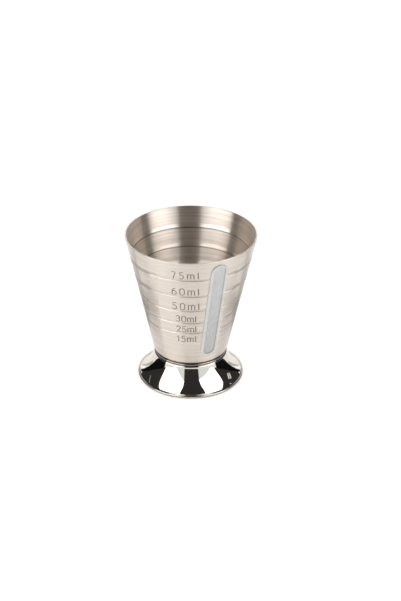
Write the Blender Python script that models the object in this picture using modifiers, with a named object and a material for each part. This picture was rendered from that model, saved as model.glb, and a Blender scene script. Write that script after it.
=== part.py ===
"""A conical bar jigger with a sight window, in metres, +Z up.

The drawn steel cup stands on a spun, flared foot, whose flat top is spot-welded under the cup's floor. A
clear strip lets the bartender read the level from outside. A silicone seal of H section holds the strip in a
slot of the cup's wall.

The origin is the centre of the ring that the foot stands on, and the window faces -Y.
"""

import math

import bmesh
import bpy

# Driving dimensions
RIM_RADIUS = 0.03025
HEIGHT = 0.073
CUP_BASE_Z = 0.0144  # the underside of the cup's floor
TAPER = 0.2228  # radius lost per metre of depth, on the mean cone of the outer face
SHEET = 0.0007  # thickness of both steel pieces
TURN_STEPS = 72

# A groove is pressed into the wall at each mark: the marks for 75, 60, 50, 30 and 25 ml
MARK_HEIGHTS = (0.0633, 0.0542, 0.0458, 0.0387, 0.0327)
GROOVE_DEPTH = 0.00034
GROOVE_ABOVE = 0.0016  # how far above the mark the wall starts to lean in
GROOVE_BELOW = 0.00025  # how far below the mark it is back on the cone
BASE_CORNER_RADIUS = 0.0009

# The foot
FOOT_RADIUS = 0.025
HEM_HEIGHT = 0.0013  # the hemmed edge that the foot stands on
HEM_WIDTH = 0.0013
HEM_ROUNDING = 0.0004
BRIM_WIDTH = 0.0006  # the narrow level band between the flare and the hem
SEAT_RADIUS = 0.0142  # the raised flat top, under the cup's floor
SHELF_DROP = 0.0006  # from the flat top down to the shelf round it
NECK_RADIUS = 0.0168
NECK_HEIGHT = 0.0008
NECK_FOLD_RADIUS = 0.0002
SHOULDER = 0.0003  # how far the flare starts outside the neck
FLARE_HANDLE = (0.0189, 0.0052)  # r and z of the handle that bends the flare
SEAT_GAP = 0.0003  # between the cup's floor and the foot's flat top

# The window, as widths across it; every one is an obround seen along Y
WINDOW_BOTTOM_Z = 0.01845
WINDOW_TOP_Z = 0.0707
LIP_WIDTH = 0.0082
SLOT_WIDTH = 0.0072
PANE_WIDTH = 0.0061
SIGHT_WIDTH = 0.0057
LIP_THICKNESS = 0.0005
PANE_THICKNESS = 0.0008
FIT_GAP = 0.0001  # between the seal and what it touches
WINDOW_MARGIN = 0.0015  # how far a turned band runs past the window's ends before it is trimmed
PRISM_NEAR_Y = -0.045
PRISM_FAR_Y = -0.008
OBROUND_END_STEPS = 10

STEEL_SLOPE = math.atan(TAPER)
WALL_ACROSS = SHEET / math.cos(STEEL_SLOPE)  # the wall's thickness, measured level


def clear_scene():
    for obj in list(bpy.data.objects):
        bpy.data.objects.remove(obj)


def make_collection(name):
    collection = bpy.data.collections.new(name)
    bpy.context.scene.collection.children.link(collection)
    return collection


def make_material(name, colour, metallic, roughness, alpha=1.0):
    material = bpy.data.materials.new(name)
    material.use_nodes = True
    shader = material.node_tree.nodes["Principled BSDF"]
    shader.inputs["Base Color"].default_value = (*colour, 1.0)
    shader.inputs["Metallic"].default_value = metallic
    shader.inputs["Roughness"].default_value = roughness
    shader.inputs["Alpha"].default_value = alpha
    return material


def arc(centre, radius, start, end, steps):
    """Points (r, z) on an arc; the angles are in degrees, counted from +r towards +z."""
    points = []
    for i in range(steps + 1):
        angle = math.radians(start + (end - start) * i / steps)
        points.append((centre[0] + radius * math.cos(angle), centre[1] + radius * math.sin(angle)))
    return points


def curve_between(start, handle, end, steps):
    """Points of a quadratic Bezier curve."""
    points = []
    for i in range(steps + 1):
        t = i / steps
        points.append(
            tuple((1 - t) ** 2 * a + 2 * t * (1 - t) * h + t**2 * b for a, h, b in zip(start, handle, end))
        )
    return points


def offset_line(points, distance):
    """The line parallel to points, that far to its right as it is walked in the r, z plane."""
    sides = []
    for (r1, z1), (r2, z2) in zip(points, points[1:]):
        length = math.dist((r1, z1), (r2, z2))
        sides.append(((z2 - z1) / length, (r1 - r2) / length))
    moved = []
    for (r, z), a, b in zip(points, sides[:1] + sides, sides + sides[-1:]):
        mitre = distance / (1 + a[0] * b[0] + a[1] * b[1])
        moved.append((r + mitre * (a[0] + b[0]), z + mitre * (a[1] + b[1])))
    return moved


def cone_radius(z):
    """The outer face's mean cone."""
    return RIM_RADIUS - TAPER * (HEIGHT - z)


def wall_line(top, bottom, offset=0.0):
    """The grooved outer face from top down to bottom, moved outwards by offset."""
    points = [(cone_radius(top), top)]
    for mark in MARK_HEIGHTS:
        points.append((cone_radius(mark + GROOVE_ABOVE), mark + GROOVE_ABOVE))
        points.append((cone_radius(mark) - GROOVE_DEPTH, mark))
        points.append((cone_radius(mark - GROOVE_BELOW), mark - GROOVE_BELOW))
    points.append((cone_radius(bottom), bottom))
    return [(r + offset, z) for r, z in points]


def turned(name, section, collection, closed):
    """A solid of revolution about Z. The section's outer side runs from top to bottom."""
    mesh = bpy.data.meshes.new(name)
    edges = [(i, i + 1) for i in range(len(section) - 1)]
    if closed:
        edges.append((len(section) - 1, 0))
    mesh.from_pydata([(r, 0, z) for r, z in section], edges, [])
    obj = bpy.data.objects.new(name, mesh)
    collection.objects.link(obj)
    screw = obj.modifiers.new("Turn", "SCREW")
    screw.axis = "Z"
    screw.angle = math.tau
    screw.steps = TURN_STEPS
    screw.render_steps = TURN_STEPS
    screw.use_merge_vertices = True
    screw.merge_threshold = 0.00001
    screw.use_smooth_shade = True
    return obj


def band(name, outer_offset, inner_offset, collection):
    """A turned band that follows the wall over the window's height and a little past it."""
    outer = wall_line(WINDOW_TOP_Z + WINDOW_MARGIN, WINDOW_BOTTOM_Z - WINDOW_MARGIN, outer_offset)
    inner = wall_line(WINDOW_TOP_Z + WINDOW_MARGIN, WINDOW_BOTTOM_Z - WINDOW_MARGIN, inner_offset)
    return turned(name, outer + inner[::-1], collection, closed=True)


def prism(name, width, collection):
    """An obround bar along Y, as wide as asked. Its edge keeps one distance to the seal's edge all round."""
    inset = (LIP_WIDTH - width) / 2
    radius = width / 2
    top = WINDOW_TOP_Z - inset - radius
    bottom = WINDOW_BOTTOM_Z + inset + radius
    outline = arc((0, top), radius, 0, 180, OBROUND_END_STEPS)
    outline += arc((0, bottom), radius, 180, 360, OBROUND_END_STEPS)

    curve = bpy.data.curves.new(name, "CURVE")
    curve.dimensions = "2D"
    curve.fill_mode = "BOTH"
    curve.extrude = (PRISM_FAR_Y - PRISM_NEAR_Y) / 2
    spline = curve.splines.new("POLY")
    spline.points.add(len(outline) - 1)
    for point, (x, z) in zip(spline.points, outline):
        point.co = (x, z, 0, 1)
    spline.use_cyclic_u = True
    drawn = bpy.data.objects.new(name + "_outline", curve)
    drawn.location = (0, (PRISM_NEAR_Y + PRISM_FAR_Y) / 2, 0)
    drawn.rotation_euler = (math.radians(90), 0, 0)
    collection.objects.link(drawn)
    return curve_to_mesh(drawn, name, collection)


def curve_to_mesh(drawn, name, collection):
    """The curve object as a closed mesh object in the same place; the curve is removed."""
    bpy.context.view_layer.update()
    graph = bpy.context.evaluated_depsgraph_get()
    mesh = bpy.data.meshes.new_from_object(drawn.evaluated_get(graph))
    work = bmesh.new()
    work.from_mesh(mesh)
    bmesh.ops.remove_doubles(work, verts=work.verts, dist=0.00001)
    bmesh.ops.recalc_face_normals(work, faces=work.faces)
    work.to_mesh(mesh)
    work.free()
    obj = bpy.data.objects.new(name, mesh)
    obj.matrix_world = drawn.matrix_world
    collection.objects.link(obj)
    bpy.data.objects.remove(drawn)
    return obj


def hide_cutter(obj):
    obj.hide_render = True
    obj.display_type = "WIRE"
    return obj


def cut(obj, operation, cutter):
    boolean = obj.modifiers.new(cutter.name, "BOOLEAN")
    boolean.operation = operation
    boolean.solver = "EXACT"
    boolean.object = cutter


def cup_section():
    """Round the cup's sheet: up the inside from the floor's centre, over the rim and down the outside."""
    corner_z = CUP_BASE_Z + BASE_CORNER_RADIUS
    corner = (cone_radius(corner_z) - BASE_CORNER_RADIUS / math.cos(STEEL_SLOPE), corner_z)
    slope = math.degrees(STEEL_SLOPE)
    outer = wall_line(HEIGHT, corner_z)[:-1]
    outer += arc(corner, BASE_CORNER_RADIUS, -slope, -90, 4)
    outer.append((0, CUP_BASE_Z))

    inner = wall_line(HEIGHT, corner_z, -WALL_ACROSS)[:-1]
    inner += arc(corner, BASE_CORNER_RADIUS - SHEET, -slope, -90, 3)
    inner.append((0, CUP_BASE_Z + SHEET))
    return inner[::-1] + outer


def foot_section():
    """Round the foot's sheet: out along its top, down the neck and flare, round the hem and back inside."""
    top = CUP_BASE_Z - SEAT_GAP
    shelf = top - SHELF_DROP
    neck_end = shelf - NECK_HEIGHT
    edge = FOOT_RADIUS - HEM_ROUNDING
    inner_edge = FOOT_RADIUS - HEM_WIDTH
    seat = [(0, top), (SEAT_RADIUS, top), (SEAT_RADIUS + SHELF_DROP, shelf)]
    flare_start = (NECK_RADIUS + SHOULDER, neck_end - SHOULDER)
    flare_end = (edge - BRIM_WIDTH, HEM_HEIGHT)
    flare = [(NECK_RADIUS, neck_end)] + curve_between(flare_start, FLARE_HANDLE, flare_end, 9)

    fold = arc((NECK_RADIUS - NECK_FOLD_RADIUS, shelf - NECK_FOLD_RADIUS), NECK_FOLD_RADIUS, 90, 0, 2)
    hem = arc((edge, HEM_HEIGHT - HEM_ROUNDING), HEM_ROUNDING, 90, 0, 2)
    hem += arc((edge, HEM_ROUNDING), HEM_ROUNDING, 0, -90, 2)
    hem += arc((inner_edge + HEM_ROUNDING, HEM_ROUNDING), HEM_ROUNDING, 270, 180, 2)
    inside = offset_line(seat + [(NECK_RADIUS, shelf)] + flare, SHEET)
    inside = [(r, z) for r, z in inside if r < inner_edge]
    return seat + fold + flare + hem + inside[::-1]


def make_cup(collection, cutters, steel):
    cup = turned("measuring_cup", cup_section(), collection, closed=False)
    cut(cup, "DIFFERENCE", hide_cutter(prism("slot_cutter", SLOT_WIDTH, cutters)))
    cup.data.materials.append(steel)


def make_foot(collection, steel):
    foot = turned("flared_foot", foot_section(), collection, closed=False)
    foot.data.materials.append(steel)


def pane_section(gap=0.0):
    """The pane follows the middle of the wall's mean cone."""
    half = PANE_THICKNESS / 2 + gap
    middle = []
    for z in (WINDOW_TOP_Z + WINDOW_MARGIN, WINDOW_BOTTOM_Z - WINDOW_MARGIN):
        middle.append((cone_radius(z) - WALL_ACROSS / 2, z))
    return [(r + half, z) for r, z in middle] + [(r - half, z) for r, z in middle[::-1]]


def make_pane(collection, cutters, clear):
    pane = turned("sight_window", pane_section(), collection, closed=True)
    cut(pane, "INTERSECT", hide_cutter(prism("pane_outline", PANE_WIDTH, cutters)))
    pane.data.materials.append(clear)


def make_seal(collection, cutters, silicone):
    """A ring of H section. Its outer groove takes the slot's edge, and its inner groove the pane's."""
    outside = FIT_GAP + LIP_THICKNESS
    seal = band("window_seal", outside, -WALL_ACROSS - outside, collection)
    cut(seal, "INTERSECT", hide_cutter(prism("lip_outline", LIP_WIDTH, cutters)))

    wall_groove = hide_cutter(band("wall_groove", FIT_GAP, -WALL_ACROSS - FIT_GAP, cutters))
    cut(wall_groove, "DIFFERENCE", hide_cutter(prism("web_outline", SLOT_WIDTH - 2 * FIT_GAP, cutters)))
    cut(seal, "DIFFERENCE", wall_groove)

    pane_groove = hide_cutter(turned("pane_groove", pane_section(FIT_GAP), cutters, closed=True))
    cut(pane_groove, "INTERSECT", hide_cutter(prism("groove_outline", PANE_WIDTH + 2 * FIT_GAP, cutters)))
    cut(seal, "DIFFERENCE", pane_groove)

    cut(seal, "DIFFERENCE", hide_cutter(prism("sight_cutter", SIGHT_WIDTH, cutters)))
    seal.data.materials.append(silicone)


def main():
    clear_scene()
    parts = make_collection("bar_jigger")
    cutters = make_collection("cutters")

    brushed_steel = make_material("brushed_steel", (0.72, 0.68, 0.63), 1.0, 0.32)
    mirror_steel = make_material("mirror_steel", (0.80, 0.79, 0.78), 1.0, 0.04)
    clear_plastic = make_material("clear_plastic", (0.80, 0.84, 0.86), 0.0, 0.25, alpha=0.6)
    clear_silicone = make_material("clear_silicone", (0.84, 0.85, 0.84), 0.0, 0.35)

    make_cup(parts, cutters, brushed_steel)
    make_foot(parts, mirror_steel)
    make_pane(parts, cutters, clear_plastic)
    make_seal(parts, cutters, clear_silicone)


main()
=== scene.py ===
"""The looks of the bar jigger: fine meshes, materials, a pale studio and the camera.

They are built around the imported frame. Lengths are in metres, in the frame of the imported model: +Z is up and
the window faces -Y. A section is a line of (radius, height) points that is turned about Z.
"""

import math

import bmesh
import bpy
import numpy as np
from mathutils import Matrix, Vector


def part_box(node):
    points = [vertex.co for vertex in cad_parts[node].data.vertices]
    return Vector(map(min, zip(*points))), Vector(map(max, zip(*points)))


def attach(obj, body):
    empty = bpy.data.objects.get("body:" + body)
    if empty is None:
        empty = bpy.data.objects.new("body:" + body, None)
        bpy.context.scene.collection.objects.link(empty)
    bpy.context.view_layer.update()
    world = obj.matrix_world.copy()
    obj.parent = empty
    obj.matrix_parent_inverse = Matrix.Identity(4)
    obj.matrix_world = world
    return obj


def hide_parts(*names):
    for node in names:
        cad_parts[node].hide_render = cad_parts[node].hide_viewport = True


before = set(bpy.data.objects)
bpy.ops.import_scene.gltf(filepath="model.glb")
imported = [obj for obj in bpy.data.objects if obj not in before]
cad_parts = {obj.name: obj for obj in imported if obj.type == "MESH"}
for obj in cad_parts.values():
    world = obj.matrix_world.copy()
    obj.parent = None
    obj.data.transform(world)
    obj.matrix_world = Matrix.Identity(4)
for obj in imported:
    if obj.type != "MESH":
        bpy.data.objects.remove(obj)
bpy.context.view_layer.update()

# Sizes that the frame gives
cup_low, cup_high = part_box("measuring_cup")
_, foot_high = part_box("flared_foot")
pane_low, pane_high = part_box("sight_window")
seal_low, seal_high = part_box("window_seal")
RIM_RADIUS = cup_high.x
HEIGHT = cup_high.z
CUP_BASE_Z = cup_low.z
FOOT_RADIUS = foot_high.x
FOOT_TOP_Z = foot_high.z

# The cup
TAPER = 0.2228  # radius lost per metre of depth
SHEET = 0.0007
WALL_ACROSS = SHEET * math.hypot(1, TAPER)
MARK_HEIGHTS = {75: 0.0633, 60: 0.0542, 50: 0.0458, 30: 0.0387, 25: 0.0327}
GROOVE_DEPTH = 0.00034
GROOVE_ABOVE = 0.0016  # the groove's long slope, above the mark
GROOVE_BELOW = 0.00025  # its short slope, below the mark
CREASE_ABOVE = 0.0001  # how far the painted shade along each mark reaches above it
SHADE_BELOW = 0.0007  # how far the painted shade line inside reaches below each mark
GROOVE_ROUNDING = 0.00012
RIM_ROUNDING = 0.00012
RIM_STEPS = 6
BASE_CORNER_RADIUS = 0.0009
OUTER_CORNER_STEPS = 8
INNER_CORNER_STEPS = 6
FLOOR_BAND = 0.004  # faces that look up this close to the base belong to the cup's floor
CUP_STEPS = 320
CUP_SHARP = math.radians(35)
SLIVER = 0.000005  # edges shorter than this are closed up after a cut
TOUCHING = 0.000001  # points of a cutter closer than this are one
OUTSIDE_SLOT, INSIDE_SLOT, ETCHED_SLOT, CREASE_SLOT, SHADE_SLOT = range(5)

# The foot
HEM_HEIGHT = 0.0013
HEM_WIDTH = 0.0013
HEM_ROUNDING = 0.0004
BRIM_WIDTH = 0.0006
SEAT_RADIUS = 0.0142
SHELF_DROP = 0.0006
NECK_RADIUS = 0.0168
NECK_HEIGHT = 0.0008
NECK_FOLD_RADIUS = 0.0002
SHOULDER = 0.0003
FLARE_HANDLE = (0.0189, 0.0052)
FOOT_BEND = 0.0002  # how far the small corners of the foot are rounded
FLARE_STEPS = 40
FOLD_STEPS = 8
BEND_STEPS = 4
HEM_STEPS = 6
FOOT_STEPS = 320
FOOT_SHARP = math.radians(40)
POLISHED_SLOT, NECK_SHADE_SLOT, HEM_SHADE_SLOT = range(3)

# The window. A half is measured across it, from its middle line.
LIP_HALF = (seal_high.x - seal_low.x) / 2
PANE_HALF = (pane_high.x - pane_low.x) / 2
SLOT_HALF = 0.0036
SIGHT_HALF = 0.00285
LIP_THICKNESS = 0.0005
LIP_ROUNDING = 0.00022
PANE_THICKNESS = 0.0008
FIT_GAP = 0.0001
WINDOW_END_STEPS = 24
WINDOW_SIDE_STEPS = 90
LIP_STEPS = 5
PANE_COLUMNS = 16
PANE_END_STEPS = 16
PANE_SIDE_STEPS = 60
PANE_SHARP = math.radians(40)
SEAL_SHARP = math.radians(50)
SLOT_CUT_NEAR = -0.045  # the two ends of the slot's cutter along Y
SLOT_CUT_FAR = -0.008

# The volume figures: a column to the left of the window
FIGURE_AZIMUTH = math.radians(-31.4)
FIGURE_GROOVE_RADIUS = 0.00026
FIGURE_LIFT = 0.0001  # how far the groove's axis lies outside the wall
LABELS = (
    # text, the height of its baseline, how tall the figures are, how wide the whole label is
    ("75ml", 0.0644, 0.0037, 0.0122),
    ("60ml", 0.0552, 0.0038, 0.0122),
    ("50ml", 0.0468, 0.0038, 0.0122),
    ("30ml", 0.0397, 0.0034, 0.0091),
    ("25ml", 0.0336, 0.0034, 0.0090),
    ("15ml", 0.0277, 0.0034, 0.0088),
)

# Colours, as the two ends between which each material varies
OUTSIDE_STEEL = ((0.63, 0.565, 0.50), (0.71, 0.645, 0.58))
INSIDE_STEEL = ((0.54, 0.475, 0.415), (0.83, 0.765, 0.70))
# CREASE_STEEL is painted shade: a darker, less shiny line along each mark's crease outside
CREASE_STEEL = ((0.58, 0.515, 0.455), (0.68, 0.61, 0.545))
# SHADE_STEEL is painted shade: a dark line inside under each ridge
SHADE_STEEL = ((0.34, 0.30, 0.265), (0.46, 0.41, 0.365))
ETCHED_STEEL = ((0.20, 0.17, 0.145), (0.30, 0.26, 0.225))
POLISHED_STEEL = ((0.68, 0.63, 0.57), (0.73, 0.68, 0.62))
# NECK_SHADE_STEEL is painted shade: the dark neck under the cup and its shoulder
NECK_SHADE_STEEL = ((0.14, 0.13, 0.115), (0.19, 0.175, 0.16))
# HEM_SHADE_STEEL is painted shade that darkens the reflections of the foot's hem and brim
HEM_SHADE_STEEL = ((0.38, 0.35, 0.315), (0.45, 0.415, 0.375))
# PLASTIC runs from the pane's foot to its top: painted light, with random cloud on it
PLASTIC = ((0.47, 0.475, 0.47), (0.62, 0.63, 0.63))
SILICONE = ((0.64, 0.63, 0.60), (0.72, 0.71, 0.68))
PAPER = (0.9, 0.9, 0.9)
GREY_CARD = (0.5, 0.5, 0.5)
BLACK_CARD = (0.008, 0.008, 0.008)
COOL_WHITE = (0.90, 0.98, 1.0)
WARM_WHITE = (1.0, 0.93, 0.80)
WHITE = (1, 1, 1)

NOISE_LOW, NOISE_HIGH = 0.3, 0.7  # noise seldom leaves this range
FINE_SHARE = 0.4  # of the steel's streaks, next to the coarse ones

# How deep the bumps in the materials are
FINE_BRUSHING = 0.000003
CREASE_BRUSHING = 0.000004
COARSE_BRUSHING = 0.000012
RIPPLE_DEPTH = 0.00002
SKIN_DEPTH = 0.00001

# The camera
CAMERA_AZIMUTH = math.radians(-26.5)
CAMERA_DISTANCE = 0.5553
CAMERA_SIDE = 0.0045
CAMERA_HEIGHT = 0.345
CAMERA_PITCH = math.radians(28.91)
CAMERA_ROLL = math.radians(0.45)
CAMERA_LENS = 81.6
CAMERA_CLIP = (0.01, 20)

# The studio, whose -Y points at the camera. Each outline of a light at its side lists how far forward and how
# far up its corners are, in units of SIDE_WALL.
SIDES = ((-1, "left"), (1, "right"))
SIDE_WALL = 0.45  # from the axis to each softbox
LEFT_SOFTBOX = (
    (0.33, 0), (0.14, 0.58), (0.03, 1.0), (0.06, 1.4), (0.18, 2.1), (0.2, 3.4), (0.35, 5),
    (1.15, 5), (1.3, 3.3), (2.6, 2.75), (3.3, 1.95), (1.2, 0),
)
LEFT_PANEL = ((1.2, 0), (3.3, 1.95), (3.3, 0))
RIGHT_SOFTBOX = (
    (0.4, 0), (0.14, 0.37), (0.03, 0.62), (-0.02, 1.25), (-0.02, 1.4), (0.0, 2.1), (0.03, 3.4), (0.2, 5),
    (0.6, 5), (0.62, 3.3), (0.76, 2.4), (1.1, 2.05), (1.7, 1.75), (2.28, 1.2), (0.6, 0),
)
RIGHT_PANEL = ((0.6, 0), (2.28, 1.2), (2.45, 0))
PANEL_STRENGTH = 1.05
SOFTBOX_STRENGTH = 3.6
BACKDROP_STRENGTH = 1.0  # the world, as the camera sees it
FILL_STRENGTH = 0.75  # the world, as matt surfaces see it
GAP_STRENGTH = 0.036  # the world, as shiny surfaces see it between the lights
FLOOR_GLOW = 0.41
FLOOR_HALF = 3.0
BACK_WALL = (1.1, 1.0, 0, 0.55)  # its distance, half width, and the heights of its two edges
BACK_TOP = (1.1, 0.35, 0.55, 0.95)

# Black flags that stand on the floor beside the foot. Azimuths are in degrees from the camera's side.
FLAG_RADIUS = 0.058
FLAG_HEIGHT = 0.0105
FLAG_FRONT = 68
FLAG_BACK = (106, 134)  # where it ends at the floor and at its top
FLAG_STEPS = 12

# Grey cards that lie on the floor behind the flags
CARD_AZIMUTHS = (114, 140)
CARD_REACH = (0.05, 0.115)  # from the axis to its near and far edges
CARD_HEIGHT = 0.0005
CARD_GLOW = 0.2

# Small warm windows of the room, which the foot mirrors
WINDOW_RADIUS = 0.6
WINDOWS = (
    # azimuths from the camera towards its right, elevations, strength
    (105, 108, 13, 25, 1.1),
    (110, 113, 12, 24, 1.1),
    (107, 118, 34, 36, 0.7),
    (-112, -110, 18, 36, 0.35),
)

# The most of a straight stretch that the rounding at one of its ends may take
MOST_OF_HALF = 0.48


# Profiles and meshes


def arc(centre, radius, start, end, steps):
    """Points on an arc in a plane; the angles are in degrees."""
    points = []
    for i in range(steps + 1):
        angle = math.radians(start + (end - start) * i / steps)
        points.append((centre[0] + radius * math.cos(angle), centre[1] + radius * math.sin(angle)))
    return points


def bend(start, handle, end, steps):
    """Points of a quadratic Bezier curve."""
    points = []
    for i in range(steps + 1):
        t = i / steps
        u = 1 - t
        ends = zip(start, handle, end)
        points.append(tuple(u * u * a + 2 * t * u * h + t * t * b for a, h, b in ends))
    return points


def rounded(points, reach, steps=5):
    """The open line with each inner corner replaced by a curve that starts and ends reach away."""
    line = [points[0]]
    for before, corner, after in zip(points, points[1:], points[2:]):
        near = Vector(corner)
        back = Vector(before) - near
        ahead = Vector(after) - near
        start = near + back * min(reach / back.length, MOST_OF_HALF)
        end = near + ahead * min(reach / ahead.length, MOST_OF_HALF)
        line += bend(tuple(start), corner, tuple(end), steps)
    return line + [points[-1]]


def cone_radius(z):
    """The outer face's mean cone."""
    return RIM_RADIUS - TAPER * (HEIGHT - z)


def wall_line(top, bottom, offset=0.0):
    """The outer face from top to bottom, with a pressed groove at each mark, moved outwards by offset."""
    points = [(cone_radius(top), top)]
    for mark in MARK_HEIGHTS.values():
        points.append((cone_radius(mark + GROOVE_ABOVE), mark + GROOVE_ABOVE))
        points.append((cone_radius(mark) - GROOVE_DEPTH, mark))
        points.append((cone_radius(mark - GROOVE_BELOW), mark - GROOVE_BELOW))
        points.append((cone_radius(mark - SHADE_BELOW), mark - SHADE_BELOW))
    points.append((cone_radius(bottom), bottom))
    return rounded([(r + offset, z) for r, z in points], GROOVE_ROUNDING)


def level_radius(line, z):
    """The radius at height z of a line that runs from top to bottom."""
    return float(np.interp(-z, [-p[1] for p in line], [p[0] for p in line]))


def new_object(name, mesh):
    obj = bpy.data.objects.new(name, mesh)
    bpy.context.scene.collection.objects.link(obj)
    return obj


def grid_faces(rows, columns, wrap_rows=False, wrap_columns=False):
    """Quads between the points of a grid that is stored row by row."""
    faces = []
    for i in range(rows if wrap_rows else rows - 1):
        for j in range(columns if wrap_columns else columns - 1):
            i2 = (i + 1) % rows
            j2 = (j + 1) % columns
            faces.append((i * columns + j, i2 * columns + j, i2 * columns + j2, i * columns + j2))
    return faces


def turned(name, section, steps):
    """A solid of revolution about Z. Its section starts and ends on the axis."""
    mesh = bpy.data.meshes.new(name)
    middle = section[1:-1]
    points = [(0, 0, section[0][1]), (0, 0, section[-1][1])]
    for j in range(steps):
        angle = math.tau * j / steps
        points += [(r * math.cos(angle), r * math.sin(angle), z) for r, z in middle]
    count = len(middle)
    faces = []
    for j in range(steps):
        here = 2 + j * count
        there = 2 + (j + 1) % steps * count
        faces.append((0, here, there))
        faces += [(here + i, here + i + 1, there + i + 1, there + i) for i in range(count - 1)]
        faces.append((here + count - 1, 1, there + count - 1))
    mesh.from_pydata(points, [], faces)
    mesh.shade_smooth()
    return new_object(name, mesh)


def swept_round_window(name, section):
    """A ring that follows the window's outline.

    The section lists (half width, line, offset): the point lies that far from the window's middle line, and
    offset outside the line that is given.
    """
    columns = len(section)
    top = seal_high.z - LIP_HALF
    bottom = seal_low.z + LIP_HALF
    path = []
    for i in range(WINDOW_SIDE_STEPS):
        path.append((1.0, 0.0, bottom + (top - bottom) * i / WINDOW_SIDE_STEPS))
    for i in range(WINDOW_END_STEPS):
        angle = math.pi * i / WINDOW_END_STEPS
        path.append((math.cos(angle), math.sin(angle), top))
    for i in range(WINDOW_SIDE_STEPS):
        path.append((-1.0, 0.0, top + (bottom - top) * i / WINDOW_SIDE_STEPS))
    for i in range(WINDOW_END_STEPS):
        angle = math.pi * (1 + i / WINDOW_END_STEPS)
        path.append((math.cos(angle), math.sin(angle), bottom))
    points = []
    for across, up, z0 in path:
        for half, line, offset in section:
            x = half * across
            z = z0 + half * up
            points.append(on_wall(x, z, line, offset))
    mesh = bpy.data.meshes.new(name)
    faces = grid_faces(len(path), columns, wrap_rows=True, wrap_columns=True)
    mesh.from_pydata(points, [], faces)
    mesh.shade_smooth()
    return new_object(name, mesh)


def on_wall(x, z, line, offset):
    """The point that lies offset outside a turned line, on the window's side, at x and z."""
    radius = level_radius(line, z) + offset
    return (x, -math.sqrt(radius * radius - x * x), z)


def make_outward(obj):
    """Turns the faces of a closed mesh to look outwards."""
    work = bmesh.new()
    work.from_mesh(obj.data)
    bmesh.ops.recalc_face_normals(work, faces=work.faces)
    work.to_mesh(obj.data)
    work.free()


def applied(obj):
    """The object with its modifiers applied."""
    graph = bpy.context.evaluated_depsgraph_get()
    mesh = bpy.data.meshes.new_from_object(obj.evaluated_get(graph))
    obj.modifiers.clear()
    obj.data = mesh
    return obj


def without_slivers(obj):
    """The object, triangulated, without the slivers and loose faces that a cut leaves."""
    work = bmesh.new()
    work.from_mesh(obj.data)
    bmesh.ops.triangulate(work, faces=work.faces)
    bmesh.ops.remove_doubles(work, verts=work.verts, dist=SLIVER)
    bmesh.ops.dissolve_degenerate(work, edges=work.edges, dist=SLIVER)
    bmesh.ops.triangulate(work, faces=work.faces)
    bmesh.ops.remove_doubles(work, verts=work.verts, dist=SLIVER)
    joined = {max(work.faces, key=lambda face: face.calc_area())}
    waiting = list(joined)
    while waiting:
        for edge in waiting.pop().edges:
            if edge.is_manifold:
                for face in edge.link_faces:
                    if face not in joined:
                        joined.add(face)
                        waiting.append(face)
    stray = [face for face in work.faces if face not in joined]
    bmesh.ops.delete(work, geom=stray, context="FACES")
    work.to_mesh(obj.data)
    work.free()
    return obj


def remove(obj):
    bpy.data.objects.remove(obj)


# Materials


class Nodes:
    """A small helper that adds nodes to a material and links them."""

    def __init__(self, name):
        self.material = bpy.data.materials.new(name)
        self.material.use_nodes = True
        self.tree = self.material.node_tree
        self.shader = self.tree.nodes["Principled BSDF"]

    def add(self, kind, **settings):
        node = self.tree.nodes.new("ShaderNode" + kind)
        for key, value in settings.items():
            setattr(node, key, value)
        return node

    def link(self, source, target):
        self.tree.links.new(source, target)

    def math(self, operation, a, b=0.0):
        node = self.add("Math", operation=operation)
        for socket, value in zip(node.inputs, (a, b)):
            if isinstance(value, (int, float)):
                socket.default_value = value
            else:
                self.link(value, socket)
        return node.outputs[0]

    def span(self, value, low, high, to_low, to_high):
        """value moved from the range low to high into the range to_low to to_high."""
        node = self.add("MapRange")
        self.link(value, node.inputs["Value"])
        node.inputs["From Min"].default_value = low
        node.inputs["From Max"].default_value = high
        node.inputs["To Min"].default_value = to_low
        node.inputs["To Max"].default_value = to_high
        return node.outputs["Result"]

    def spread(self, noise, to_low, to_high):
        """Noise stretched from the range that it mostly keeps to into the range to_low to to_high."""
        return self.span(noise, NOISE_LOW, NOISE_HIGH, to_low, to_high)

    def noise(self, scale, detail=2.0, roughness=0.5):
        """Noise in the object's coordinates, with its own scale along X, Y and Z, in cells per metre."""
        place = self.add("TexCoord")
        stretch = self.add("Mapping")
        stretch.inputs["Scale"].default_value = scale
        self.link(place.outputs["Object"], stretch.inputs["Vector"])
        node = self.add("TexNoise")
        node.inputs["Scale"].default_value = 1.0
        node.inputs["Detail"].default_value = detail
        node.inputs["Roughness"].default_value = roughness
        self.link(stretch.outputs["Vector"], node.inputs["Vector"])
        return node.outputs["Fac"]

    def blend(self, factor, colours):
        """A colour between the two, from the first at 0 to the second at 1."""
        node = self.add("Mix", data_type="RGBA")
        self.link(factor, node.inputs["Factor"])
        colour_sockets = [socket for socket in node.inputs if socket.type == "RGBA"]
        for socket, colour in zip(colour_sockets, colours):
            socket.default_value = (*colour, 1.0)
        return next(socket for socket in node.outputs if socket.type == "RGBA")

    def bump(self, height, distance):
        node = self.add("Bump")
        node.inputs["Strength"].default_value = 1.0
        node.inputs["Distance"].default_value = distance
        self.link(height, node.inputs["Height"])
        return node.outputs["Normal"]

    def set(self, **values):
        """Sets or links the shader's sockets, whose names have _ for each space."""
        for key, value in values.items():
            socket = self.shader.inputs[key.replace("_", " ")]
            if not isinstance(value, (int, float, tuple)):
                self.link(value, socket)
            elif socket.type == "RGBA":
                socket.default_value = (*value, 1.0)
            else:
                socket.default_value = value


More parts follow.
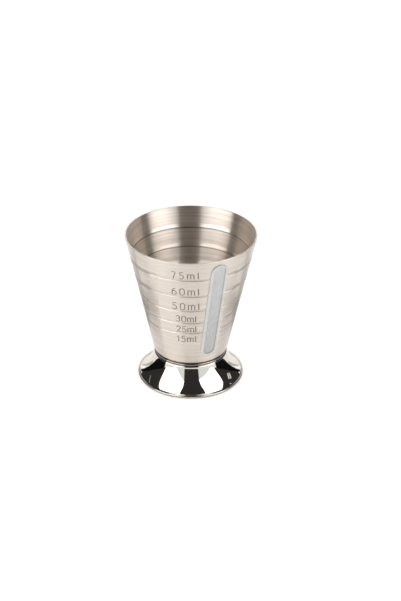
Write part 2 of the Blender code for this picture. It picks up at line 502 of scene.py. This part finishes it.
def brushed_steel(name, colours, groove_depth, roughness, metallic=1.0):
    """Steel turned against an abrasive. Fine grooves run round it, so reflections stretch up and down."""
    nodes = Nodes(name)
    fine = nodes.noise((30, 30, 9000), detail=3)
    coarse = nodes.noise((22, 22, 1100), detail=2)
    patches = nodes.noise((60, 60, 40), detail=2)
    fine_part = nodes.math("MULTIPLY", fine, FINE_SHARE)
    coarse_part = nodes.math("MULTIPLY", coarse, 1 - FINE_SHARE)
    streaks = nodes.math("ADD", fine_part, coarse_part)
    dull_streaks = nodes.spread(streaks, roughness + 0.05, roughness - 0.03)
    dull_patches = nodes.spread(patches, -0.015, 0.015)
    tangent = nodes.add("Tangent", direction_type="RADIAL", axis="Z")
    nodes.link(tangent.outputs["Tangent"], nodes.shader.inputs["Tangent"])
    nodes.set(
        Base_Color=nodes.blend(nodes.spread(streaks, 0, 1), colours),
        Metallic=metallic,
        Roughness=nodes.math("ADD", dull_streaks, dull_patches),
        Anisotropic=1.0,
        Anisotropic_Rotation=0.25,
        Normal=nodes.bump(streaks, groove_depth),
    )
    return nodes.material


def mirror_steel(name, colours):
    """Polished steel with a trace of buffing marks and finger haze."""
    nodes = Nodes(name)
    haze = nodes.noise((90, 90, 90), detail=3)
    lines = nodes.noise((60, 60, 5000), detail=2)
    ripple = nodes.noise((130, 130, 130), detail=1)
    dull_haze = nodes.span(haze, 0.4, 0.75, 0.035, 0.06)
    dull_lines = nodes.span(lines, 0.4, 0.8, 0, 0.02)
    nodes.set(
        Base_Color=nodes.blend(nodes.span(haze, 0.35, 0.7, 0, 1), colours),
        Metallic=1.0,
        Roughness=nodes.math("ADD", dull_haze, dull_lines),
        Normal=nodes.bump(ripple, RIPPLE_DEPTH),
    )
    return nodes.material


def etched_steel():
    """The floor of the engraved figures."""
    nodes = Nodes("etched_steel")
    grain = nodes.noise((9000, 9000, 9000), detail=2)
    nodes.set(
        Base_Color=nodes.blend(nodes.spread(grain, 0, 1), ETCHED_STEEL),
        Metallic=0.6,
        Roughness=0.6,
        Normal=nodes.bump(grain, RIPPLE_DEPTH),
    )
    return nodes.material


def frosted_plastic():
    """The pane: a little cloudy, with faint flow lines along it, and painted light that makes it lighter towards
    its top.
    """
    nodes = Nodes("frosted_plastic")
    flow = nodes.noise((1500, 1500, 60), detail=2)
    cloud = nodes.noise((160, 160, 120), detail=3)
    place = nodes.add("TexCoord")
    parts = nodes.add("SeparateXYZ")
    nodes.link(place.outputs["Object"], parts.inputs[0])
    # painted light: the colour lightens up the pane
    height = nodes.span(parts.outputs["Z"], pane_low.z, pane_high.z, 0, 0.8)
    painted_light_and_cloud = nodes.math("ADD", height, nodes.spread(cloud, 0, 0.2))
    nodes.set(
        Base_Color=nodes.blend(painted_light_and_cloud, PLASTIC),
        Roughness=nodes.spread(flow, 0.22, 0.34),
        IOR=1.5,
        Normal=nodes.bump(cloud, SKIN_DEPTH),
    )
    return nodes.material


def clear_silicone():
    """The seal: milky silicone with a satin skin."""
    nodes = Nodes("clear_silicone")
    skin = nodes.noise((2500, 2500, 2500), detail=2)
    cloud = nodes.noise((200, 200, 150), detail=2)
    nodes.set(
        Base_Color=nodes.blend(nodes.spread(cloud, 0, 1), SILICONE),
        Roughness=nodes.spread(skin, 0.22, 0.36),
        IOR=1.41,
        Normal=nodes.bump(skin, SKIN_DEPTH),
    )
    return nodes.material


# Pieces


def cup_section():
    """Round the cup's sheet: up the inside from the floor's centre, over the rim and down the outside."""
    corner_z = CUP_BASE_Z + BASE_CORNER_RADIUS
    corner = (cone_radius(corner_z) - BASE_CORNER_RADIUS / math.cos(math.atan(TAPER)), corner_z)
    slope = math.degrees(math.atan(TAPER))
    outer = wall_line(HEIGHT, corner_z)[1:-1]
    outer += arc(corner, BASE_CORNER_RADIUS, -slope, -90, OUTER_CORNER_STEPS)
    outer += [(0, CUP_BASE_Z)]
    inner = wall_line(HEIGHT, corner_z, -WALL_ACROSS)[1:-1]
    inner += arc(corner, BASE_CORNER_RADIUS - SHEET, -slope, -90, INNER_CORNER_STEPS)
    inner += [(0, CUP_BASE_Z + SHEET)]
    brim = [(RIM_RADIUS - WALL_ACROSS, HEIGHT), (RIM_RADIUS, HEIGHT)]
    rim = rounded([inner[0], *brim, outer[0]], RIM_ROUNDING, RIM_STEPS)
    return inner[:0:-1] + rim + outer[1:]


def obround(half, top, bottom, steps):
    """An upright outline with round ends, as (x, z)."""
    return arc((0, top), half, 0, 180, steps) + arc((0, bottom), half, 180, 360, steps)


def slot_cutter():
    """A bar along Y, of the slot's outline."""
    top = seal_high.z - LIP_HALF
    bottom = seal_low.z + LIP_HALF
    outline = obround(SLOT_HALF, top, bottom, WINDOW_END_STEPS)
    count = len(outline)
    near = [(x, SLOT_CUT_NEAR, z) for x, z in outline]
    far = [(x, SLOT_CUT_FAR, z) for x, z in outline]
    faces = [tuple(range(count)), tuple(range(2 * count - 1, count - 1, -1))]
    for i in range(count):
        after = (i + 1) % count
        faces.append((i, i + count, after + count, after))
    mesh = bpy.data.meshes.new("slot_cutter")
    mesh.from_pydata(near + far, [], faces)
    obj = new_object("slot_cutter", mesh)
    make_outward(obj)
    return obj


def bow(centre, size, start, end, steps=10):
    """An arc of an ellipse in a glyph's box, whose unit is the figures' height."""
    points = []
    for i in range(steps + 1):
        angle = math.radians(start + (end - start) * i / steps)
        points.append((centre[0] + size[0] * math.cos(angle), centre[1] + size[1] * math.sin(angle)))
    return points


def glyph(letter):
    """The strokes of a plain rounded figure or letter, and its width, in units of the figures' height."""
    if letter == "0":
        ring = bow((0.27, 0.68), (0.27, 0.32), 0, 180) + bow((0.27, 0.32), (0.27, 0.32), 180, 360)
        return [ring + ring[:1]], 0.54
    if letter == "1":
        return [[(0.04, 0.80), (0.24, 1.0), (0.24, 0.0)]], 0.34
    if letter == "2":
        return [bow((0.27, 0.72), (0.25, 0.28), 160, -35) + [(0.02, 0.0), (0.54, 0.0)]], 0.54
    if letter == "3":
        upper = bow((0.25, 0.75), (0.22, 0.25), 150, -80)
        lower = bow((0.25, 0.28), (0.26, 0.28), 80, -150)
        return [upper + lower[2:]], 0.52
    if letter == "5":
        bowl = bow((0.25, 0.31), (0.27, 0.31), 120, -150)
        return [[(0.47, 1.0), (0.10, 1.0), (0.06, 0.52)] + bowl], 0.54
    if letter == "6":
        ring = bow((0.27, 0.30), (0.26, 0.30), 150, 510, 20)
        tail = bow((0.57, 0.36), (0.56, 0.66), 170, 110, 8)
        return [ring, tail], 0.54
    if letter == "7":
        return [[(0.0, 1.0), (0.50, 1.0), (0.20, 0.0)]], 0.50
    if letter == "m":
        first = [(0.0, 0.50)] + bow((0.19, 0.53), (0.19, 0.21), 180, 0, 8) + [(0.38, 0.0)]
        second = bow((0.57, 0.53), (0.19, 0.21), 180, 0, 8) + [(0.76, 0.0)]
        return [[(0.0, 0.74), (0.0, 0.0)], first, second], 0.76
    return [[(0.05, 1.0), (0.05, 0.0)]], 0.10


def figure_strokes():
    """Every stroke of every label, as points on the wall's outer face."""
    wall = wall_line(HEIGHT, CUP_BASE_Z)
    strokes = []
    for text, baseline, tall, wide in LABELS:
        shapes = [glyph(letter) for letter in text]
        used = sum(width for _, width in shapes) * tall
        gap = (wide - used) / (len(text) - 1)
        start = -wide / 2
        for lines, width in shapes:
            for line in lines:
                stroke = []
                for across, up in line:
                    z = baseline + up * tall
                    radius = level_radius(wall, z) + FIGURE_LIFT
                    angle = FIGURE_AZIMUTH + (start + across * tall) / radius
                    stroke.append((radius * math.sin(angle), -radius * math.cos(angle), z))
                strokes.append(stroke)
            start += width * tall + gap
    return strokes


def figure_cutter():
    """Tubes along the strokes, closed at their ends, for the grooves."""
    curve = bpy.data.curves.new("figure_cutter", "CURVE")
    curve.dimensions = "3D"
    curve.bevel_depth = FIGURE_GROOVE_RADIUS
    curve.bevel_resolution = 2
    curve.use_fill_caps = True
    for stroke in figure_strokes():
        spline = curve.splines.new("POLY")
        spline.points.add(len(stroke) - 1)
        for point, place in zip(spline.points, stroke):
            point.co = (*place, 1)
    drawn = new_object("figure_curve", curve)
    graph = bpy.context.evaluated_depsgraph_get()
    mesh = bpy.data.meshes.new_from_object(drawn.evaluated_get(graph))
    remove(drawn)
    obj = new_object("figure_cutter", mesh)
    work = bmesh.new()
    work.from_mesh(mesh)
    bmesh.ops.remove_doubles(work, verts=work.verts, dist=TOUCHING)
    bmesh.ops.recalc_face_normals(work, faces=work.faces)
    work.to_mesh(mesh)
    work.free()
    return obj


def profile_normals(section):
    """The outward normals at the points of an open section that starts and ends on the axis."""
    line = np.array(section)
    ahead = np.gradient(line, axis=0)
    normals = np.stack([-ahead[:, 1], ahead[:, 0]], axis=1)
    normals[0] = (0, normals[0][1])
    normals[-1] = (0, normals[-1][1])
    return normals / np.linalg.norm(normals, axis=1)[:, None]


def turned_normals(mesh, section):
    """For each vertex of a mesh, the normal of the turned surface next to it."""
    places = np.zeros(len(mesh.vertices) * 3, np.float32)
    mesh.vertices.foreach_get("co", places)
    places = places.reshape(-1, 3).astype(float)
    radius = np.hypot(places[:, 0], places[:, 1])
    flat = np.stack([radius, places[:, 2]], axis=1)
    line = np.array(section)
    normals = profile_normals(section)
    best = np.full(len(flat), np.inf)
    found = np.zeros((len(flat), 2))
    for a, b, na, nb in zip(line, line[1:], normals, normals[1:]):
        along = b - a
        t = np.clip((flat - a) @ along / (along @ along), 0, 1)
        distance = np.linalg.norm(flat - a - t[:, None] * along, axis=1)
        closer = distance < best
        best[closer] = distance[closer]
        found[closer] = ((1 - t)[:, None] * na + t[:, None] * nb)[closer]
    safe = np.maximum(radius, 1e-9)
    outwards = found[:, 0]
    result = np.stack([outwards * places[:, 0] / safe, outwards * places[:, 1] / safe, found[:, 1]], axis=1)
    return result / np.linalg.norm(result, axis=1)[:, None]


def smooth_as_turned(obj, section):
    """Gives every face but those of the engraved grooves the normals of the uncut turned surface."""
    mesh = obj.data
    mesh.shade_smooth()
    mesh.set_sharp_from_angle(angle=CUP_SHARP)
    corners = np.zeros(len(mesh.loops) * 3, np.float32)
    mesh.corner_normals.foreach_get("vector", corners)
    corners = corners.reshape(-1, 3)
    at_vertex = turned_normals(mesh, section)
    for face in mesh.polygons:
        if face.material_index != ETCHED_SLOT:
            for loop in face.loop_indices:
                corners[loop] = at_vertex[mesh.loops[loop].vertex_index]
    mesh.normals_split_custom_set(corners.tolist())


def near_mark(z, below, above):
    """Whether the height z lies within that distance below or above one of the marks."""
    return any(-below < z - mark < above for mark in MARK_HEIGHTS.values())


def cup_slot(face):
    """The material slot of a face of the uncut cup."""
    middle = face.center
    if face.normal.x * middle.x + face.normal.y * middle.y < 0:
        # painted shade: inside faces just below each mark take the shade steel
        return SHADE_SLOT if near_mark(middle.z, SHADE_BELOW, CREASE_ABOVE) else INSIDE_SLOT
    if middle.z < CUP_BASE_Z + FLOOR_BAND and face.normal.z > 0.5:
        return INSIDE_SLOT
    # painted shade: outside faces along each mark's crease take the crease steel
    return CREASE_SLOT if near_mark(middle.z, GROOVE_BELOW, CREASE_ABOVE) else OUTSIDE_SLOT


def make_cup(outside, inside, etched, crease, shade):
    """The cup, with the window's slot and the figures cut, and the section that it was turned from."""
    section = cup_section()
    cup = turned("jigger_cup", section, CUP_STEPS)
    for material in (outside, inside, etched, crease, shade):
        cup.data.materials.append(material)
    for face in cup.data.polygons:
        face.material_index = cup_slot(face)
    slot = slot_cutter()
    slot.data.materials.append(outside)
    figures = figure_cutter()
    figures.data.materials.clear()
    figures.data.materials.append(etched)
    for cutter, own in ((slot, False), (figures, True)):
        cut = cup.modifiers.new(cutter.name, "BOOLEAN")
        cut.operation = "DIFFERENCE"
        cut.solver = "EXACT"
        cut.use_self = own
        cut.material_mode = "TRANSFER"
        cut.object = cutter
    without_slivers(applied(cup))
    remove(slot)
    remove(figures)
    return cup, section


def offset_line(points, distance):
    """An open line moved by distance to the right of its direction, with its corners kept sharp."""
    sides = []
    for (r1, z1), (r2, z2) in zip(points, points[1:]):
        length = math.dist((r1, z1), (r2, z2))
        sides.append(((z2 - z1) / length, (r1 - r2) / length))
    moved = []
    for (r, z), a, b in zip(points, sides[:1] + sides, sides + sides[-1:]):
        mitre = distance / (1 + a[0] * b[0] + a[1] * b[1])
        moved.append((r + mitre * (a[0] + b[0]), z + mitre * (a[1] + b[1])))
    return moved


def foot_section():
    """Round the foot's sheet: along its top, down the neck and flare, round the hem and back inside."""
    shelf = FOOT_TOP_Z - SHELF_DROP
    fold = (NECK_RADIUS - NECK_FOLD_RADIUS, shelf - NECK_FOLD_RADIUS)
    neck_end = shelf - NECK_HEIGHT
    edge = FOOT_RADIUS - HEM_ROUNDING
    inner_edge = FOOT_RADIUS - HEM_WIDTH
    seat = [(0, FOOT_TOP_Z), (SEAT_RADIUS, FOOT_TOP_Z), (SEAT_RADIUS + SHELF_DROP, shelf)]
    flare_start = (NECK_RADIUS + SHOULDER, neck_end - SHOULDER)
    flare = bend(flare_start, FLARE_HANDLE, (edge - BRIM_WIDTH, HEM_HEIGHT), FLARE_STEPS)
    neck = [(NECK_RADIUS, fold[1]), (NECK_RADIUS, neck_end), flare_start]
    outer = rounded(seat + [(fold[0], shelf)], FOOT_BEND, BEND_STEPS)[:-1]
    outer += arc(fold, NECK_FOLD_RADIUS, 90, 0, FOLD_STEPS)
    outer += rounded(neck, FOOT_BEND, BEND_STEPS)[1:-1] + flare
    outer += arc((edge, HEM_HEIGHT - HEM_ROUNDING), HEM_ROUNDING, 90, 0, HEM_STEPS)
    outer += arc((edge, HEM_ROUNDING), HEM_ROUNDING, 0, -90, HEM_STEPS)
    outer += arc((inner_edge + HEM_ROUNDING, HEM_ROUNDING), HEM_ROUNDING, 270, 180, HEM_STEPS)
    inside = offset_line(seat + [(NECK_RADIUS, shelf), (NECK_RADIUS, neck_end)] + flare, SHEET)
    inside = [(r, z) for r, z in inside if r < inner_edge]
    return outer + inside[::-1]


def make_foot(polished, neck_shade, edge):
    foot = turned("jigger_foot", foot_section(), FOOT_STEPS)
    foot.data.set_sharp_from_angle(angle=FOOT_SHARP)
    for material in (polished, neck_shade, edge):
        foot.data.materials.append(material)
    shelf = FOOT_TOP_Z - SHELF_DROP
    for face in foot.data.polygons:
        radius = math.hypot(face.center.x, face.center.y)
        # painted shade on the neck and its shoulder, under the cup
        in_neck = shelf - NECK_HEIGHT - SHOULDER < face.center.z < shelf - NECK_FOLD_RADIUS / 2
        if in_neck and radius > NECK_RADIUS - NECK_FOLD_RADIUS:
            face.material_index = NECK_SHADE_SLOT
        # painted shade on the hem and brim
        elif radius > FOOT_RADIUS - HEM_ROUNDING - BRIM_WIDTH:
            face.material_index = HEM_SHADE_SLOT
        else:
            face.material_index = POLISHED_SLOT
    return foot


def pane_line(offset):
    """The straight cone that the pane follows, moved outwards by offset from the middle of the wall."""
    middle = -WALL_ACROSS / 2 + offset
    return [(cone_radius(HEIGHT) + middle, HEIGHT), (cone_radius(CUP_BASE_Z) + middle, CUP_BASE_Z)]


def make_pane(plastic):
    """A curved strip with round ends. Rows run up it, and each runs across its outside and back inside."""
    top = pane_high.z - PANE_HALF
    bottom = pane_low.z + PANE_HALF
    rows = []
    for i in range(1, PANE_END_STEPS + 1):
        angle = math.pi / 2 * i / PANE_END_STEPS
        rows.append((bottom - PANE_HALF * math.cos(angle), PANE_HALF * math.sin(angle)))
    for i in range(1, PANE_SIDE_STEPS):
        rows.append((bottom + (top - bottom) * i / PANE_SIDE_STEPS, PANE_HALF))
    for i in range(PANE_END_STEPS):
        angle = math.pi / 2 * i / PANE_END_STEPS
        rows.append((top + PANE_HALF * math.sin(angle), PANE_HALF * math.cos(angle)))
    points = []
    for z, half in rows:
        for offset, way in ((PANE_THICKNESS / 2, 1), (-PANE_THICKNESS / 2, -1)):
            line = pane_line(offset)
            for j in range(PANE_COLUMNS + 1):
                points.append(on_wall(way * half * (2 * j / PANE_COLUMNS - 1), z, line, 0))
    around = 2 * (PANE_COLUMNS + 1)
    faces = grid_faces(len(rows), around, wrap_columns=True)
    faces += [tuple(range(around)), tuple(range((len(rows) - 1) * around, len(rows) * around))]
    mesh = bpy.data.meshes.new("sight_pane")
    mesh.from_pydata(points, [], faces)
    pane = new_object("sight_pane", mesh)
    make_outward(pane)
    mesh.shade_smooth()
    mesh.set_sharp_from_angle(angle=PANE_SHARP)
    mesh.materials.append(plastic)
    return pane


def seal_section():
    """The seal's H section, from the outer lip's outer edge. Each point is (half width, line, offset)."""
    wall = wall_line(HEIGHT, CUP_BASE_Z)
    pane = pane_line(0)
    crown = FIT_GAP + LIP_THICKNESS
    far = LIP_HALF
    web = SLOT_HALF - FIT_GAP
    groove = PANE_HALF + FIT_GAP
    near = SIGHT_HALF
    skin = PANE_THICKNESS / 2 + FIT_GAP
    outer_lip = arc((far - LIP_ROUNDING, crown - LIP_ROUNDING), LIP_ROUNDING, 0, 90, LIP_STEPS)
    inner_edge = arc((near + LIP_ROUNDING, crown - LIP_ROUNDING), LIP_ROUNDING, 90, 180, LIP_STEPS)
    section = [(far, wall, FIT_GAP)]
    section += [(half, wall, lift) for half, lift in outer_lip + inner_edge]
    section += [(near, pane, skin), (groove, pane, skin), (groove, pane, -skin), (near, pane, -skin)]
    back = -WALL_ACROSS
    section += [(half, wall, back - lift) for half, lift in inner_edge[::-1] + outer_lip[::-1]]
    section += [(far, wall, back - FIT_GAP), (web, wall, back - FIT_GAP), (web, wall, FIT_GAP)]
    return section


def make_seal(silicone):
    seal = swept_round_window("window_gasket", seal_section())
    make_outward(seal)
    seal.data.set_sharp_from_angle(angle=SEAL_SHARP)
    seal.data.materials.append(silicone)
    return seal


# Studio


def stage_material(name, colour, strength=0.0, glow=0.0):
    """A lamp's cloth if strength is given, and otherwise matt paper or card that glows a little."""
    nodes = Nodes(name)
    if strength:
        nodes.tree.nodes.remove(nodes.shader)
        lamp = nodes.add("Emission")
        lamp.inputs["Color"].default_value = (*colour, 1.0)
        lamp.inputs["Strength"].default_value = strength
        nodes.link(lamp.outputs[0], nodes.tree.nodes["Material Output"].inputs["Surface"])
    else:
        nodes.set(Base_Color=colour, Roughness=1.0, Specular_IOR_Level=0.0)
        nodes.set(Emission_Color=WHITE, Emission_Strength=glow)
    return nodes.material


def hide(obj, *rays):
    """Hides the object from the camera and from the rays named."""
    obj.visible_camera = False
    for ray in rays:
        setattr(obj, "visible_" + ray, False)


def stage_mesh(name, points, faces, material, studio):
    mesh = bpy.data.meshes.new(name)
    mesh.from_pydata(points, [], faces)
    mesh.materials.append(material)
    obj = new_object(name, mesh)
    obj.parent = studio
    return obj


def aimed(azimuth, elevation):
    """The point at WINDOW_RADIUS in that direction, with the azimuth counted from the camera to its right."""
    turn = math.radians(azimuth)
    rise = math.radians(elevation)
    return (
        WINDOW_RADIUS * math.sin(turn) * math.cos(rise),
        -WINDOW_RADIUS * math.cos(turn) * math.cos(rise),
        WINDOW_RADIUS * math.sin(rise),
    )


def back_panel(name, size, material, studio):
    distance, half, low, high = size
    points = [(-half, distance, low), (half, distance, low), (half, distance, high), (-half, distance, high)]
    hide(stage_mesh(name, points, [(0, 1, 2, 3)], material, studio))


def make_side_lights(studio):
    light = stage_material("softbox_cloth", WHITE, SOFTBOX_STRENGTH)
    dim = stage_material("wall_card", COOL_WHITE, PANEL_STRENGTH)
    for name, side, outline, cloth in (
        ("softbox_left", -1, LEFT_SOFTBOX, light),
        ("softbox_right", 1, RIGHT_SOFTBOX, light),
        ("panel_left", -1, LEFT_PANEL, dim),
        ("panel_right", 1, RIGHT_PANEL, dim),
    ):
        points = [(side * SIDE_WALL, -forward * SIDE_WALL, up * SIDE_WALL) for forward, up in outline]
        hide(stage_mesh(name, points, [tuple(range(len(points)))], cloth, studio), "diffuse")


def make_windows(studio):
    for i, (left, right, low, high, strength) in enumerate(WINDOWS):
        warm = stage_material(f"window_glow_{i}", WARM_WHITE, strength)
        points = [aimed(left, low), aimed(right, low), aimed(right, high), aimed(left, high)]
        hide(stage_mesh(f"window_{i}", points, [(0, 1, 2, 3)], warm, studio), "diffuse")


def make_flag(side, name, black, studio):
    points = []
    for i in range(FLAG_STEPS + 1):
        for back, z in zip(FLAG_BACK, (0, FLAG_HEIGHT)):
            turn = math.radians(FLAG_FRONT + (back - FLAG_FRONT) * i / FLAG_STEPS)
            points.append((side * FLAG_RADIUS * math.sin(turn), -FLAG_RADIUS * math.cos(turn), z))
    flag = stage_mesh("flag_" + name, points, grid_faces(FLAG_STEPS + 1, 2), black, studio)
    hide(flag, "diffuse", "shadow")


def make_card(side, name, grey, studio):
    points = []
    for turn in CARD_AZIMUTHS:
        for reach in CARD_REACH:
            across = math.sin(math.radians(turn))
            ahead = -math.cos(math.radians(turn))
            points.append((side * reach * across, reach * ahead, CARD_HEIGHT))
    card = stage_mesh("card_" + name, points, [(0, 1, 3, 2)], grey, studio)
    hide(card, "diffuse", "shadow")


def make_studio():
    studio = bpy.data.objects.new("studio", None)
    bpy.context.scene.collection.objects.link(studio)
    studio.rotation_euler.z = CAMERA_AZIMUTH
    paper = stage_material("white_paper", PAPER, glow=FLOOR_GLOW)
    black = stage_material("black_card", BLACK_CARD)
    grey = stage_material("grey_card", GREY_CARD, glow=CARD_GLOW)

    half = FLOOR_HALF
    corners = [(-half, -half, 0), (half, -half, 0), (half, half, 0), (-half, half, 0)]
    stage_mesh("floor", corners, [(0, 1, 2, 3)], paper, studio)
    back_panel("back_wall", BACK_WALL, paper, studio)
    back_panel("back_top", BACK_TOP, paper, studio)
    make_side_lights(studio)
    make_windows(studio)
    for side, name in SIDES:
        make_flag(side, name, black, studio)
    for side, name in SIDES:
        make_card(side, name, grey, studio)


def make_world():
    """White to the eye, soft fill on matt surfaces, and dark in the mirror between the softboxes."""
    world = bpy.data.worlds.new("studio_world")
    world.use_nodes = True
    bpy.context.scene.world = world
    tree = world.node_tree
    path = tree.nodes.new("ShaderNodeLightPath")
    back = tree.nodes["Background"]
    back.inputs["Color"].default_value = (*WHITE, 1)
    levels = []
    for ray, strength in (
        ("Is Camera Ray", BACKDROP_STRENGTH),
        ("Is Diffuse Ray", FILL_STRENGTH),
        ("Is Glossy Ray", GAP_STRENGTH),
    ):
        level = tree.nodes.new("ShaderNodeMath")
        level.operation = "MULTIPLY"
        level.inputs[1].default_value = strength
        tree.links.new(path.outputs[ray], level.inputs[0])
        levels.append(level)
    total = levels[0]
    for level in levels[1:]:
        add = tree.nodes.new("ShaderNodeMath")
        add.operation = "ADD"
        tree.links.new(total.outputs[0], add.inputs[0])
        tree.links.new(level.outputs[0], add.inputs[1])
        total = add
    tree.links.new(total.outputs[0], back.inputs["Strength"])


def make_camera():
    camera = bpy.data.objects.new("camera", bpy.data.cameras.new("camera"))
    bpy.context.scene.collection.objects.link(camera)
    camera.data.lens = CAMERA_LENS
    camera.data.clip_start, camera.data.clip_end = CAMERA_CLIP
    turn = Matrix.Rotation(CAMERA_AZIMUTH, 4, "Z")
    place = Matrix.Translation((CAMERA_SIDE, -CAMERA_DISTANCE, CAMERA_HEIGHT))
    tilt = Matrix.Rotation(math.pi / 2 - CAMERA_PITCH, 4, "X")
    roll = Matrix.Rotation(CAMERA_ROLL, 4, "Z")
    camera.matrix_world = turn @ place @ tilt @ roll
    bpy.context.scene.camera = camera


def main():
    make_camera()
    make_world()
    make_studio()
    bpy.context.scene.view_settings.view_transform = "Standard"

    outside = brushed_steel("brushed_steel_outside", OUTSIDE_STEEL, FINE_BRUSHING, roughness=0.23)
    inside = brushed_steel(
        "brushed_steel_inside", INSIDE_STEEL, COARSE_BRUSHING, roughness=0.31, metallic=0.84
    )
    # painted shade along each mark's crease outside
    crease = brushed_steel("painted_crease_shade", CREASE_STEEL, CREASE_BRUSHING, roughness=0.40, metallic=0.38)
    # painted shade under each ridge inside
    shade = brushed_steel("painted_ridge_shade", SHADE_STEEL, CREASE_BRUSHING, roughness=0.40)
    cup, section = make_cup(outside, inside, etched_steel(), crease, shade)
    smooth_as_turned(cup, section)
    polished = mirror_steel("mirror_steel", POLISHED_STEEL)
    # painted shade in the foot's neck under the cup
    neck_shade = mirror_steel("painted_neck_shade", NECK_SHADE_STEEL)
    # painted shade on the foot's hem and brim
    edge = mirror_steel("painted_hem_shade", HEM_SHADE_STEEL)
    foot = make_foot(polished, neck_shade, edge)
    pane = make_pane(frosted_plastic())
    seal = make_seal(clear_silicone())

    for piece, node, slot in (
        (cup, "measuring_cup", "brushed_steel"),
        (foot, "flared_foot", "mirror_steel"),
        (pane, "sight_window", "clear_plastic"),
        (seal, "window_seal", "clear_silicone"),
    ):
        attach(piece, "root")
        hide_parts(node)


main()
